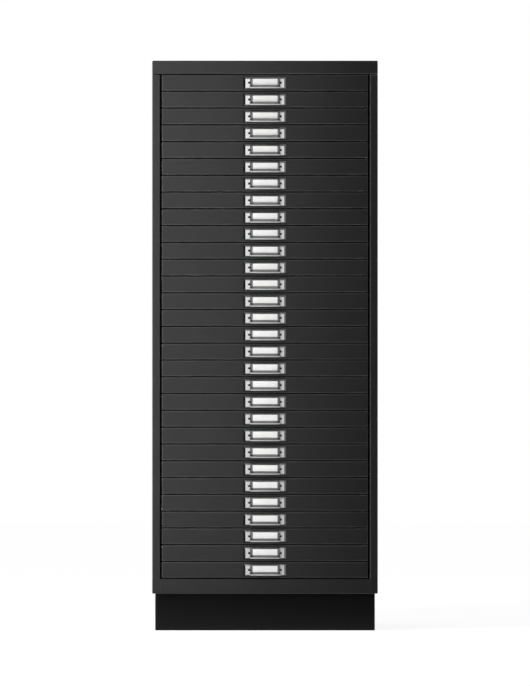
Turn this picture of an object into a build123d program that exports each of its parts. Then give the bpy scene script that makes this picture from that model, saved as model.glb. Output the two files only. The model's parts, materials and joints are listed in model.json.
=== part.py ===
from build123d import *
import os

# Multi-drawer steel cabinet: a casing of folded sheet on a set-back plinth, with a column of
# shallow drawers that slide out of its open front. Millimetres, +Z up, front towards -Y.
# The origin is on the floor, under the middle of the whole cabinet.

# Casing
casing_width = 364.0
casing_depth = 440.0
casing_sheet = 1.2
casing_bend = 2.0
top_rail_height = 21.4
bottom_rail_height = 24.0
bottom_edge_radius = 1.6
stile_width = 13.0
stile_edge_bend = 1.6
stile_return_depth = 20.0
stile_hem_width = 6.0
rear_return_width = 11.0
bottom_flange_width = 50.0
rail_top_return = 18.0
rail_bottom_return = 62.0
cover_seam = 1.4
cover_hem_depth = 12.0

# Frame inside the casing
upright_width = 30.0
upright_sheet = 1.2
upright_bend = 2.0
front_upright_setback = 32.0
rear_upright_setback = 26.0
stretcher_drop = 17.0
runner_sheet = 1.0
runner_bend = 1.2
runner_web_height = 8.0
runner_ledge_width = 9.0
runner_end_gap = 2.0
buffer_width = 15.0
buffer_thickness = 4.0
buffer_spacing = 200.0
buffer_chamfer = 1.5
base_lip_height = 12.0

# Plinth
plinth_height = 60.5
plinth_side_inset = 4.3
plinth_front_recess = 40.0
plinth_rear_inset = 6.0
plinth_sheet = 1.5
plinth_bend = 2.4
plinth_corner_return = 45.0
bracket_side = 62.0
bracket_thickness = 2.0

# Drawers
drawer_count = 30
drawer_front_height = 25.5
drawer_gap = 1.6
drawer_side_gap = 2.6
drawer_recess = 0.8
drawer_sheet = 0.8
drawer_travel = 340.0
front_depth = 9.0
front_edge_radius = 1.2
inner_front_margin = 0.5
tray_floor_rise = 1.8
tray_height = 20.5
hanging_flange = 7.0
tray_bend = 1.2
stop_tab_length = 12.0
stop_tab_width = 3.0

# Label holder that is also the finger pull
pull_width = 68.2
pull_height = 19.0
pull_plate = 2.0
pull_bevel_width = 1.8
pull_bevel_depth = 1.3
pull_projection = 9.0
rib_gap = 40.2
rib_width = 3.9
rib_height = 1.4
rib_slope = 0.9
lip_top_drop = 3.2
lip_nose_drop = 6.4
lip_nose_radius = 0.9
lip_top_bulge = 0.5
lip_hollow_depth = 0.8
card_width = 41.4
card_height = 9.8
card_thickness = 0.4
card_slot_clearance = 0.15
rivet_spacing = 50.8
rivet_radius = 1.3
rivet_tail_radius = 2.6
rivet_tail_length = 0.9
rivet_sink = 0.4

# Screws, bolts and rivets
screw_radius = 1.9
screw_length = 8.0
screw_head_radius = 3.6
screw_head_height = 1.8
screw_head_round = 1.0
screw_socket_width = 2.5
screw_socket_depth = 1.0
cover_screw_count = 3
cover_screw_spacing = 140.0
back_rivet_radius = 1.6
back_rivet_head_radius = 3.0
back_rivet_head_height = 1.2
back_rivet_length = 4.2
back_rivet_round = 0.9
back_rivets_per_side = 8
back_rivet_spacing = 112.0
bolt_radius = 3.0
bolt_head_width = 10.0
bolt_head_height = 4.0
bolt_length = 14.0
bolt_end_chamfer = 0.6
nut_thickness = 5.0
bolt_inset = 34.0

# Clearances
fit_clearance = 0.3
flange_clearance = 1.0
hole_clearance = 0.2
thread_clearance = 0.05
seat_clearance = 0.3
stop_clearance = 0.3
tab_clearance = 0.5

# Heights of the casing, from the floor up
casing_bottom = plinth_height
opening_bottom = casing_bottom + bottom_rail_height
drawer_pitch = drawer_front_height + drawer_gap
opening_top = opening_bottom + drawer_count * drawer_pitch + drawer_gap
casing_top = opening_top + top_rail_height
cover_underside = casing_top - casing_sheet
side_panel_top = opening_top - cover_seam
base_top = casing_bottom + 2 * casing_sheet
inner_bend = casing_bend - casing_sheet

# Depths: the origin is midway between the pulls' noses and the screw heads on the back
pull_proud = pull_projection - drawer_recess
overall_depth = pull_proud + casing_depth + screw_head_height
casing_front = pull_proud - overall_depth / 2
casing_back = casing_front + casing_depth
back_panel_front = casing_back - 2 * casing_sheet
buffer_front = back_panel_front - buffer_thickness
stile_back = casing_front + stile_return_depth

# Widths: a tray's flanges just pass the stiles, and what carries them stands beside its stop tabs
half_width = casing_width / 2
opening_half = half_width - stile_width
wall_inside = half_width - casing_sheet
flange_edge = opening_half - flange_clearance
tab_edge = flange_edge + stop_tab_width
upright_face = tab_edge + tab_clearance + runner_sheet
tray_width = 2 * (flange_edge - hanging_flange)
tray_half = tray_width / 2

# The drawer in its own frame: middle of the front's height at Z = 0, casing's front plane at Y = 0
front_face = drawer_recess
front_back = front_face + front_depth
tray_back = buffer_front - casing_front - seat_clearance
front_half_height = drawer_front_height / 2
front_half_width = opening_half - drawer_side_gap
tray_bottom = tray_floor_rise - front_half_height
flange_top = tray_bottom + tray_height
flange_underside = flange_top - drawer_sheet
stop_tab_front = stile_return_depth + drawer_travel + stop_clearance

# Places of the fasteners
bolt_x = half_width - plinth_side_inset - bolt_inset
front_bolt_y = casing_front + plinth_front_recess + bolt_inset
rear_bolt_y = casing_back - plinth_rear_inset - bolt_inset
bolt_places = [(x, y) for x in (-bolt_x, bolt_x) for y in (front_bolt_y, rear_bolt_y)]
back_rivet_x = half_width - rear_return_width / 2
back_rivet_z = (casing_bottom + side_panel_top) / 2
cover_screw_z = (opening_top + casing_top) / 2
back_rivet_plane = Plane(origin=(0, casing_back, back_rivet_z), x_dir=(1, 0, 0), z_dir=(0, 1, 0))
cover_screw_plane = Plane(origin=(0, casing_back, cover_screw_z), x_dir=(1, 0, 0), z_dir=(0, 1, 0))

os.makedirs("parts", exist_ok=True)


def finish(piece, name):
    """Label a finished piece and write it to its own file."""
    piece.label = name
    export_step(piece, f"parts/{name}.step")


def finish_group(pieces, name):
    """Write several separate solids as one named group."""
    finish(Compound(label=name, children=pieces), name)


def drawer_centre(number):
    """Height of the middle of a drawer's front; drawer 1 is the top one."""
    return opening_top - drawer_gap - front_half_height - (number - 1) * drawer_pitch


# Top cover: a shallow pan turned upside down, whose front edge is the top rail
with BuildPart() as top_cover:
    with BuildSketch(Plane.XY.offset(opening_top)) as cover_outline:
        with Locations((0, (casing_front + casing_back) / 2)):
            Rectangle(casing_width, casing_depth)
    extrude(amount=top_rail_height)
    cover_edges = top_cover.edges().filter_by(Axis.Z) + top_cover.edges().group_by(Axis.Z)[-1]
    fillet(cover_edges, radius=casing_bend)
    cover_mouth = top_cover.faces().sort_by(Axis.Z)[0]
    offset(amount=-casing_sheet, openings=cover_mouth)
    with BuildSketch(Plane.XY.offset(opening_top)) as cover_hem:
        with Locations((0, casing_front + casing_sheet / 2)):
            Rectangle(
                2 * (half_width - casing_bend),
                cover_hem_depth,
                align=(Align.CENTER, Align.MIN),
            )
    extrude(amount=casing_sheet)
    with Locations(cover_screw_plane):
        with GridLocations(cover_screw_spacing, 0, cover_screw_count, 1):
            Hole(radius=screw_radius + hole_clearance, depth=2 * casing_sheet)
finish(top_cover.part, "top_cover")


# Left side panel: the wall, its rear return and the front stile are one folded sheet
wall_centre = casing_sheet / 2 - half_width
stile_centre = casing_front + casing_sheet / 2
return_centre = opening_half + casing_sheet / 2
rear_return_edge = (rear_return_width - half_width, casing_back - casing_sheet / 2)
wall_rear_corner = (wall_centre, casing_back - casing_sheet / 2)
wall_front_corner = (wall_centre, stile_centre)
stile_corner = (-return_centre, stile_centre)
return_corner = (-return_centre, stile_back - casing_sheet / 2)
hem_end = (-return_centre - stile_hem_width, stile_back - casing_sheet / 2)
wall_bend = casing_bend - casing_sheet / 2
stile_bend = stile_edge_bend - casing_sheet / 2

with BuildPart() as left_side_panel:
    with BuildSketch(Plane.XY.offset(casing_bottom)) as beside_bottom_rail:
        with BuildLine() as plain_section:
            FilletPolyline(
                rear_return_edge,
                wall_rear_corner,
                wall_front_corner,
                (-opening_half, stile_centre),
                radius=wall_bend,
            )
        trace(line_width=casing_sheet)
    extrude(amount=bottom_rail_height)
    with BuildSketch(Plane.XY.offset(opening_bottom)) as beside_drawers:
        with BuildLine() as stile_section:
            FilletPolyline(
                rear_return_edge,
                wall_rear_corner,
                wall_front_corner,
                stile_corner,
                return_corner,
                hem_end,
                radius=[wall_bend, wall_bend, stile_bend, stile_bend],
            )
        trace(line_width=casing_sheet)
    extrude(amount=side_panel_top - opening_bottom)
    with BuildSketch(Plane.XY.offset(casing_bottom)) as bottom_flange:
        with Locations((-wall_inside - casing_sheet / 2, casing_front + rail_bottom_return)):
            Rectangle(
                bottom_flange_width,
                casing_depth - rail_bottom_return - casing_sheet / 2,
                align=(Align.MIN, Align.MIN),
            )
        with Locations((-opening_half, casing_front + casing_sheet / 2)):
            Rectangle(stile_width - casing_sheet / 2, rail_bottom_return, align=(Align.MAX, Align.MIN))
    extrude(amount=casing_sheet)
    bottom_face = left_side_panel.faces().sort_by(Axis.Z)[0]
    outer_edges = [
        edge
        for edge in bottom_face.edges()
        if edge.center().X < -half_width + casing_bend or edge.center().Y < casing_front + casing_sheet / 2
    ]
    fillet(outer_edges, radius=bottom_edge_radius)
    with Locations(Plane.XY.offset(casing_bottom + casing_sheet)):
        with Locations((-bolt_x, front_bolt_y), (-bolt_x, rear_bolt_y)):
            Hole(radius=bolt_radius + hole_clearance, depth=casing_sheet)
    with Locations(back_rivet_plane):
        with GridLocations(2 * back_rivet_x, back_rivet_spacing, 2, back_rivets_per_side):
            Hole(radius=back_rivet_radius + hole_clearance, depth=2 * casing_sheet)
finish(left_side_panel.part, "left_side_panel")
finish(mirror(left_side_panel.part, about=Plane.YZ), "right_side_panel")


# Bottom rail: a channel between the stiles, with its face flush with theirs
rail_top_centre = opening_bottom - casing_sheet / 2
rail_bottom_centre = casing_bottom + casing_sheet / 2

with BuildPart() as bottom_rail:
    with BuildSketch(Plane.YZ) as rail_section:
        with BuildLine() as rail_path:
            FilletPolyline(
                (casing_front + rail_top_return, rail_top_centre),
                (stile_centre, rail_top_centre),
                (stile_centre, rail_bottom_centre),
                (casing_front + rail_bottom_return, rail_bottom_centre),
                radius=[stile_bend, bottom_edge_radius - casing_sheet / 2],
            )
        trace(line_width=casing_sheet)
    extrude(amount=opening_half, both=True)
finish(bottom_rail.part, "bottom_rail")


# Base panel: a flat sheet with its front edge turned up, bolted down to the plinth
base_half = wall_inside - fit_clearance
base_centre = base_top - casing_sheet / 2
base_front_centre = stile_back + fit_clearance + casing_sheet / 2

with BuildPart() as base_panel:
    with BuildSketch(Plane.YZ) as base_section:
        with BuildLine() as base_path:
            FilletPolyline(
                (base_front_centre, base_centre + base_lip_height),
                (base_front_centre, base_centre),
                (back_panel_front, base_centre),
                radius=wall_bend,
            )
        trace(line_width=casing_sheet)
    extrude(amount=base_half, both=True)
    with Locations(Plane.XY.offset(base_top)):
        with Locations(*bolt_places):
            Hole(radius=bolt_radius + hole_clearance, depth=casing_sheet)
finish(base_panel.part, "base_panel")


# Back panel: flat, inside the side panels' rear returns and the cover's rear edge
back_half = wall_inside - inner_bend - fit_clearance
back_bottom = casing_bottom + casing_sheet
back_top = cover_underside - inner_bend - fit_clearance

with BuildPart() as back_panel:
    with BuildSketch(Plane.XZ.offset(-back_panel_front)) as back_outline:
        with Locations((0, (back_bottom + back_top) / 2)):
            Rectangle(2 * back_half, back_top - back_bottom)
    extrude(amount=-casing_sheet)
    with Locations(cover_screw_plane):
        with GridLocations(cover_screw_spacing, 0, cover_screw_count, 1):
            Hole(radius=screw_radius + hole_clearance, depth=3 * casing_sheet)
    with Locations(back_rivet_plane):
        with GridLocations(2 * back_rivet_x, back_rivet_spacing, 2, back_rivets_per_side):
            Hole(radius=back_rivet_radius + hole_clearance, depth=3 * casing_sheet)
finish(back_panel.part, "back_panel")


# Uprights: four channels against the side walls, which carry the runners
upright_top = cover_underside - inner_bend - fit_clearance
upright_centre = upright_face + upright_sheet / 2
front_upright_y = casing_front + front_upright_setback
rear_upright_y = casing_back - rear_upright_setback - upright_width


def make_upright(front_edge):
    """A right-hand channel from the base panel up into the cover, its web towards the drawers."""
    near = front_edge + upright_sheet / 2
    far = front_edge + upright_width - upright_sheet / 2
    with BuildPart() as upright:
        with BuildSketch(Plane.XY.offset(base_top)):
            with BuildLine():
                FilletPolyline(
                    (wall_inside, near),
                    (upright_centre, near),
                    (upright_centre, far),
                    (wall_inside, far),
                    radius=upright_bend - upright_sheet / 2,
                )
            trace(line_width=upright_sheet)
        extrude(amount=upright_top - base_top)
    return upright.part


for place, front_edge in (("front", front_upright_y), ("rear", rear_upright_y)):
    right_upright = make_upright(front_edge)
    finish(mirror(right_upright, about=Plane.YZ), f"{place}_left_upright")
    finish(right_upright, f"{place}_right_upright")


# Stretchers: two channels across the top, between the uprights, on which the cover lies
for place, front_edge in (("front", front_upright_y), ("rear", rear_upright_y)):
    near = front_edge + upright_sheet / 2
    far = front_edge + upright_width - upright_sheet / 2
    web_height = cover_underside - upright_sheet / 2
    leg_end = cover_underside - stretcher_drop
    with BuildPart() as top_stretcher:
        with BuildSketch(Plane.YZ):
            with BuildLine():
                FilletPolyline(
                    (near, leg_end),
                    (near, web_height),
                    (far, web_height),
                    (far, leg_end),
                    radius=upright_bend - upright_sheet / 2,
                )
            trace(line_width=upright_sheet)
        extrude(amount=upright_face, both=True)
    finish(top_stretcher.part, f"{place}_top_stretcher")


# Runners: an angle for each side of each drawer, whose ledge carries the tray's hanging flange
ledge_top = flange_underside - seat_clearance
ledge_centre = ledge_top - runner_sheet / 2
runner_web_centre = upright_face - runner_sheet / 2
runner_front = stile_back + runner_end_gap
runner_back = back_panel_front - runner_end_gap

with BuildPart() as right_runner:
    with BuildSketch(Plane.XZ.offset(-runner_front)) as runner_section:
        with BuildLine() as runner_path:
            FilletPolyline(
                (upright_face - runner_ledge_width, ledge_centre),
                (runner_web_centre, ledge_centre),
                (runner_web_centre, ledge_top - runner_sheet + runner_web_height),
                radius=runner_bend - runner_sheet / 2,
            )
        trace(line_width=runner_sheet)
    extrude(amount=runner_front - runner_back)
left_runner = mirror(right_runner.part, about=Plane.YZ)

drawer_numbers = range(1, drawer_count + 1)
drawer_levels = [Pos(0, 0, drawer_centre(number)) for number in drawer_numbers]
finish_group([level * left_runner for level in drawer_levels], "left_runners")
finish_group([level * right_runner.part for level in drawer_levels], "right_runners")


# Rear buffers: two rubber strips on the back panel, against which the trays close
buffer_bottom = base_top + fit_clearance

with BuildPart() as rear_buffers:
    with BuildSketch(Plane.XZ.offset(-back_panel_front)) as buffer_outlines:
        with Locations((0, (buffer_bottom + opening_top) / 2)):
            with GridLocations(buffer_spacing, 0, 2, 1):
                Rectangle(buffer_width, opening_top - buffer_bottom)
    extrude(amount=buffer_thickness)
    buffer_noses = rear_buffers.edges().filter_by(Axis.Z).group_by(Axis.Y)[0]
    chamfer(buffer_noses, length=buffer_chamfer)
finish(rear_buffers.part, "rear_buffers")


# Plinth: front and back sheets fold round the corners and meet flat side sheets
plinth_half = half_width - plinth_side_inset
plinth_side_centre = plinth_half - plinth_sheet / 2
plinth_front = casing_front + plinth_front_recess
plinth_back = casing_back - plinth_rear_inset

for name, outer_face, inward in (("plinth_front", plinth_front, 1), ("plinth_back", plinth_back, -1)):
    face_centre = outer_face + inward * plinth_sheet / 2
    return_end = outer_face + inward * plinth_corner_return
    with BuildPart() as plinth_end:
        with BuildSketch(Plane.XY):
            with BuildLine():
                FilletPolyline(
                    (-plinth_side_centre, return_end),
                    (-plinth_side_centre, face_centre),
                    (plinth_side_centre, face_centre),
                    (plinth_side_centre, return_end),
                    radius=plinth_bend - plinth_sheet / 2,
                )
            trace(line_width=plinth_sheet)
        extrude(amount=plinth_height)
    finish(plinth_end.part, name)

side_sheet_length = plinth_back - plinth_front - 2 * plinth_corner_return
plinth_middle = (plinth_front + plinth_back) / 2
for name, side in (("plinth_left_side", -1), ("plinth_right_side", 1)):
    with BuildPart() as plinth_side:
        with BuildSketch(Plane.XY):
            with Locations((side * plinth_side_centre, plinth_middle)):
                Rectangle(plinth_sheet, side_sheet_length)
        extrude(amount=plinth_height)
    finish(plinth_side.part, name)


# Corner brackets: square plates welded into the plinth's top corners
bracket_bottom = plinth_height - bracket_thickness
bracket_spacing_x = 2 * (plinth_half - plinth_sheet) - bracket_side
bracket_spacing_y = plinth_back - plinth_front - 2 * plinth_sheet - bracket_side

with BuildPart() as plinth_brackets:
    with BuildSketch(Plane.XY.offset(bracket_bottom)) as bracket_outlines:
        with Locations((0, plinth_middle)):
            with GridLocations(bracket_spacing_x, bracket_spacing_y, 2, 2):
                Rectangle(bracket_side, bracket_side)
    extrude(amount=bracket_thickness)
    chamfer(plinth_brackets.edges().filter_by(Axis.Z), length=plinth_bend)
    with Locations(Plane.XY.offset(plinth_height)):
        with Locations(*bolt_places):
            Hole(radius=bolt_radius + hole_clearance, depth=bracket_thickness)
finish(plinth_brackets.part, "plinth_corner_brackets")


# Bolts up through the brackets and the casing's floor, with nuts on the base panel
with BuildPart() as plinth_bolts:
    with BuildSketch(Plane.XY.offset(bracket_bottom)) as bolt_heads:
        with Locations(*bolt_places):
            RegularPolygon(radius=bolt_head_width / 2, side_count=6, major_radius=False)
    extrude(amount=-bolt_head_height)
    with BuildSketch(Plane.XY.offset(bracket_bottom)) as bolt_shanks:
        with Locations(*bolt_places):
            Circle(bolt_radius)
    extrude(amount=bolt_length)
    shank_ends = plinth_bolts.edges().filter_by(GeomType.CIRCLE).group_by(Axis.Z)[-1]
    chamfer(shank_ends, length=bolt_end_chamfer)
finish(plinth_bolts.part, "plinth_bolts")

with BuildPart() as plinth_nuts:
    with BuildSketch(Plane.XY.offset(base_top)) as nut_outlines:
        with Locations(*bolt_places):
            RegularPolygon(radius=bolt_head_width / 2, side_count=6, major_radius=False)
            Circle(bolt_radius + thread_clearance, mode=Mode.SUBTRACT)
    extrude(amount=nut_thickness)
finish(plinth_nuts.part, "plinth_nuts")


# Screws that hold the cover's rear edge to the back panel
with BuildPart() as cover_screws:
    with BuildSketch(cover_screw_plane) as screw_heads:
        with GridLocations(cover_screw_spacing, 0, cover_screw_count, 1):
            Circle(screw_head_radius)
    extrude(amount=screw_head_height)
    fillet(cover_screws.faces().group_by(Axis.Y)[-1].edges(), radius=screw_head_round)
    with BuildSketch(cover_screw_plane) as screw_shanks:
        with GridLocations(cover_screw_spacing, 0, cover_screw_count, 1):
            Circle(screw_radius)
    extrude(amount=-screw_length)
    with BuildSketch(cover_screw_plane.offset(screw_head_height)) as screw_sockets:
        with GridLocations(cover_screw_spacing, 0, cover_screw_count, 1):
            RegularPolygon(radius=screw_socket_width / 2, side_count=6, major_radius=False)
    extrude(amount=-screw_socket_depth, mode=Mode.SUBTRACT)
finish(cover_screws.part, "cover_screws")


# Rivets that hold the back panel to the side panels' rear returns
with BuildPart() as back_rivets:
    with BuildSketch(back_rivet_plane) as back_rivet_heads:
        with GridLocations(2 * back_rivet_x, back_rivet_spacing, 2, back_rivets_per_side):
            Circle(back_rivet_head_radius)
    extrude(amount=back_rivet_head_height)
    fillet(back_rivets.faces().group_by(Axis.Y)[-1].edges(), radius=back_rivet_round)
    with BuildSketch(back_rivet_plane) as back_rivet_shanks:
        with GridLocations(2 * back_rivet_x, back_rivet_spacing, 2, back_rivets_per_side):
            Circle(back_rivet_radius)
    extrude(amount=-back_rivet_length)
finish(back_rivets.part, "back_panel_rivets")


# Drawer front: a folded pan, open at the back
rivet_plane = Plane.XZ.offset(-front_face)

with BuildPart() as drawer_front:
    with BuildSketch(rivet_plane) as front_outline:
        Rectangle(2 * front_half_width, drawer_front_height)
    extrude(amount=-front_depth)
    visible_face = drawer_front.faces().sort_by(Axis.Y)[0]
    fillet(visible_face.edges(), radius=front_edge_radius)
    pan_mouth = drawer_front.faces().sort_by(Axis.Y)[-1]
    offset(amount=-drawer_sheet, openings=pan_mouth)
    with Locations(rivet_plane):
        with GridLocations(rivet_spacing, 0, 2, 1):
            Hole(radius=rivet_radius + hole_clearance, depth=2 * drawer_sheet)


# Drawer tray: floor, sides with hanging flanges, back wall, inner front and two stop tabs
side_centre = tray_half - drawer_sheet / 2
floor_centre = tray_bottom + drawer_sheet / 2
flange_centre = flange_top - drawer_sheet / 2
inner_front_centre = front_back + drawer_sheet / 2

with BuildPart() as drawer_tray:
    with BuildSketch(Plane.XZ.offset(-inner_front_centre)) as tray_section:
        with BuildLine() as tray_path:
            FilletPolyline(
                (-flange_edge, flange_centre),
                (-side_centre, flange_centre),
                (-side_centre, floor_centre),
                (side_centre, floor_centre),
                (side_centre, flange_centre),
                (flange_edge, flange_centre),
                radius=tray_bend - drawer_sheet / 2,
            )
        trace(line_width=drawer_sheet)
    extrude(amount=inner_front_centre - tray_back)
    with BuildSketch(Plane.XZ.offset(-tray_back)) as back_wall:
        with Locations((0, (floor_centre + flange_top) / 2)):
            Rectangle(2 * side_centre, flange_top - floor_centre)
    extrude(amount=drawer_sheet)
    with BuildSketch(Plane.XZ.offset(-front_back)) as inner_front:
        Rectangle(
            2 * (front_half_width - inner_front_margin),
            drawer_front_height - 2 * inner_front_margin,
        )
    extrude(amount=-drawer_sheet)
    with BuildSketch(Plane.XY.offset(flange_underside)) as stop_tabs:
        with Locations((0, stop_tab_front + stop_tab_length / 2)):
            with GridLocations(flange_edge + tab_edge - hanging_flange, 0, 2, 1):
                Rectangle(tab_edge - flange_edge + hanging_flange, stop_tab_length)
    extrude(amount=drawer_sheet)


# Label holder and finger pull: a bevelled plate with two ribs and a hooked lip under the card
plate_face = front_face - pull_plate
nose_tip = front_face - pull_projection
rib_inside = rib_gap / 2
rib_outside = rib_inside + rib_width
plate_half_height = pull_height / 2
flat_half_height = plate_half_height - pull_bevel_width
card_bottom = card_slot_clearance - lip_top_drop
card_centre = card_bottom + card_height / 2

with BuildPart() as drawer_pull:
    with BuildSketch(rivet_plane) as plate_outline:
        Rectangle(pull_width, pull_height)
    extrude(amount=pull_plate)
    plate_front = drawer_pull.faces().sort_by(Axis.Y)[0]
    chamfer(
        plate_front.edges(),
        length=pull_bevel_width,
        length2=pull_bevel_depth,
        reference=plate_front,
    )
    with BuildSketch(Plane.XY.offset(-lip_nose_drop)) as rib_section:
        with BuildLine() as rib_outline:
            Polyline(
                (rib_inside, plate_face),
                (rib_inside + rib_slope, plate_face - rib_height),
                (rib_outside - rib_slope, plate_face - rib_height),
                (rib_outside, plate_face),
                close=True,
            )
        make_face()
        mirror(about=Plane.YZ)
    extrude(amount=lip_nose_drop + flat_half_height)
    with BuildSketch(Plane.YZ) as lip_section:
        with BuildLine() as lip_outline:
            lip_top = SagittaArc(
                (plate_face, -lip_top_drop),
                (nose_tip + lip_nose_radius, lip_nose_radius - lip_nose_drop),
                lip_top_bulge,
            )
            lip_nose = ThreePointArc(
                lip_top @ 1,
                (nose_tip, -lip_nose_drop),
                (nose_tip + lip_nose_radius, -lip_nose_radius - lip_nose_drop),
            )
            lip_hollow = SagittaArc(lip_nose @ 1, (plate_face, -flat_half_height), lip_hollow_depth)
            Line(lip_hollow @ 1, lip_top @ 0)
        make_face()
    extrude(amount=rib_outside, both=True)
    with BuildSketch(Plane.XZ.offset(-plate_face)) as card_slot:
        with Locations((0, card_centre)):
            Rectangle(card_width + 2 * card_slot_clearance, card_height + 2 * card_slot_clearance)
    extrude(amount=card_thickness + card_slot_clearance, mode=Mode.SUBTRACT)
    with Locations(rivet_plane.offset(pull_projection)):
        with GridLocations(rivet_spacing, 0, 2, 1):
            Hole(radius=rivet_radius + hole_clearance, depth=2 * pull_projection)

with BuildPart() as drawer_card:
    with BuildSketch(Plane.XZ.offset(-plate_face)) as card_outline:
        with Locations((0, card_centre)):
            Rectangle(card_width, card_height)
    extrude(amount=card_thickness)

with BuildPart() as drawer_rivets:
    with BuildSketch(Plane.XZ.offset(-front_face - drawer_sheet)) as rivet_tails:
        with GridLocations(rivet_spacing, 0, 2, 1):
            Circle(rivet_tail_radius)
    extrude(amount=-rivet_tail_length)
    with BuildSketch(Plane.XZ.offset(-front_face - drawer_sheet)) as rivet_shanks:
        with GridLocations(rivet_spacing, 0, 2, 1):
            Circle(rivet_radius)
    extrude(amount=drawer_sheet + pull_plate - rivet_sink)


# Every drawer is the same set of pieces at its own level, drawer 1 at the top
drawer_pieces = [drawer_front.part, drawer_tray.part, drawer_pull.part, drawer_card.part]
drawer_pieces += drawer_rivets.part.solids()
for number in drawer_numbers:
    drawer_place = Pos(0, casing_front, drawer_centre(number))
    finish_group([drawer_place * piece for piece in drawer_pieces], f"drawer_{number:02d}")
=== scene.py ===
import json
import math

import bmesh
import bpy
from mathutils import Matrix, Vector


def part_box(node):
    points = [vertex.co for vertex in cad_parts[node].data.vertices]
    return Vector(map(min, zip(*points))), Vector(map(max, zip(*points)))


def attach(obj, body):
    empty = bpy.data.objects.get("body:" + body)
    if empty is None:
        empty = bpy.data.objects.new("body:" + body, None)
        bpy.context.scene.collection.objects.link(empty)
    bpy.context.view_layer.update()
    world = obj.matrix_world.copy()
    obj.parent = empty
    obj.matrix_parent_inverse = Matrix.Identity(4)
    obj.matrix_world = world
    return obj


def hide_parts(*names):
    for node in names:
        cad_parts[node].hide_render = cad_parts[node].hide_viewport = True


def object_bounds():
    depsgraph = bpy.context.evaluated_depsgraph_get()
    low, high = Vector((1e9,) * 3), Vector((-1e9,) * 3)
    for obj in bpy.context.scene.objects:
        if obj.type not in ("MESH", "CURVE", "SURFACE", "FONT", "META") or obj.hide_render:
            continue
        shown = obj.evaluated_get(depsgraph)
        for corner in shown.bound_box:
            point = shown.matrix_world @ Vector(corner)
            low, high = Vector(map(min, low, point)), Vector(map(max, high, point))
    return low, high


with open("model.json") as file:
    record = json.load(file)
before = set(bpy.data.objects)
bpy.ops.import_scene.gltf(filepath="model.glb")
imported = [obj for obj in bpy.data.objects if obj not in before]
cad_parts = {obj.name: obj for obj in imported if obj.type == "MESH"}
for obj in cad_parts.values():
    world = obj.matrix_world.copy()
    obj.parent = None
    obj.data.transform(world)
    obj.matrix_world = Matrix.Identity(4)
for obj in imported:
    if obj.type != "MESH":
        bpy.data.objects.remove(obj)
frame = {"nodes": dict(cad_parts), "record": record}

cad_low, cad_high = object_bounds()
MM = 0.001

# Photograph's frame in pixels, the metres in one pixel, and the camera that sees it
PHOTO_HEIGHT = 686
PHOTO_CABINET_TOP = 60.60
PHOTO_SCALE = 1.6132 * MM
CAMERA_LENS = 500.0
CAMERA_SENSOR = 36.0

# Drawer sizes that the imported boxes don't give by themselves
SHEET = 0.8 * MM
DRAWER_SIDE_GAP = 2.6 * MM
DRAWER_RECESS = 0.8 * MM
FRONT_DEPTH = 9.0 * MM
FRONT_EDGE_RADIUS = 1.2 * MM
FRONT_CORNER_RADIUS = 0.6 * MM
INNER_FRONT_MARGIN = 0.5 * MM
TRAY_FLOOR_RISE = 1.8 * MM
TRAY_HEIGHT = 20.5 * MM
TRAY_BEND = 1.2 * MM
HANGING_FLANGE = 7.0 * MM
STOP_TAB_WIDTH = 3.0 * MM
STOP_TAB_LENGTH = 12.0 * MM
STOP_TAB_SETBACK = 360.3 * MM
STOP_TAB_TAPER = STOP_TAB_WIDTH / 9
SUPPORT_RING = 0.5 * MM
SHARP_ANGLE = 32

# Pull, card and rivets, as averaged from the photograph's pulls; drops are below the pull's middle
PULL_WIDTH = 68.2 * MM
PULL_HEIGHT = 19.0 * MM
PULL_PLATE = 2.0 * MM
PULL_BEVEL_WIDTH = 3.1 * MM
PULL_END_BEVEL = 2.9 * MM
PULL_FOOT_WIDTH = 1.6 * MM
PULL_BEVEL_DEPTH = 1.9 * MM
PULL_PROJECTION = 9.0 * MM
PULL_END_DROP = 0.16 * MM
PULL_END_HOLLOW = 0.16 * MM
PULL_SHARP_ANGLE = 24
RIB_GAP = 40.2 * MM
RIB_WIDTH = 3.9 * MM
RIB_HEIGHT = 1.4 * MM
RIB_START = 0.18
RIB_STEPS = 12
# Width over which the painted shade on each rib fades in at its inner side
RIB_SHADE_EDGE = 0.22 * MM
RIB_END = 0.8 * MM
LIP_TOP_DROP = 3.6 * MM
LIP_NOSE_DROP = 7.95 * MM
LIP_NOSE_RADIUS = 0.9 * MM
LIP_NOSE_FLAT = 0.55 * MM
LIP_TOP_BULGE = 0.5 * MM
LIP_HOLLOW_DEPTH = 0.8 * MM
LIP_END_ROUND = 0.35 * MM
EASE = 0.1
WELD = 0.001 * MM
ROOT_OVERLAP = 0.6 * MM
CARD_WIDTH = 41.4 * MM
CARD_HEIGHT = 9.7 * MM
CARD_THICKNESS = 0.4 * MM
CARD_CORNER = 0.4 * MM
CARD_CLEARANCE = 0.15 * MM
SLOT_CORNER = 0.1 * MM
SLOT_EDGE = 0.02 * MM
SLOT_SINK = 0.05 * MM
RIVET_SPACING = 50.8 * MM
RIVET_RADIUS = 1.65 * MM
RIVET_HOLE_RADIUS = 1.8 * MM
HOLE_FLARE = 0.8 * MM
RIVET_TAIL_RADIUS = 2.6 * MM
RIVET_TAIL_LENGTH = 0.9 * MM
RIVET_SINK = 0.4 * MM
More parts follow.
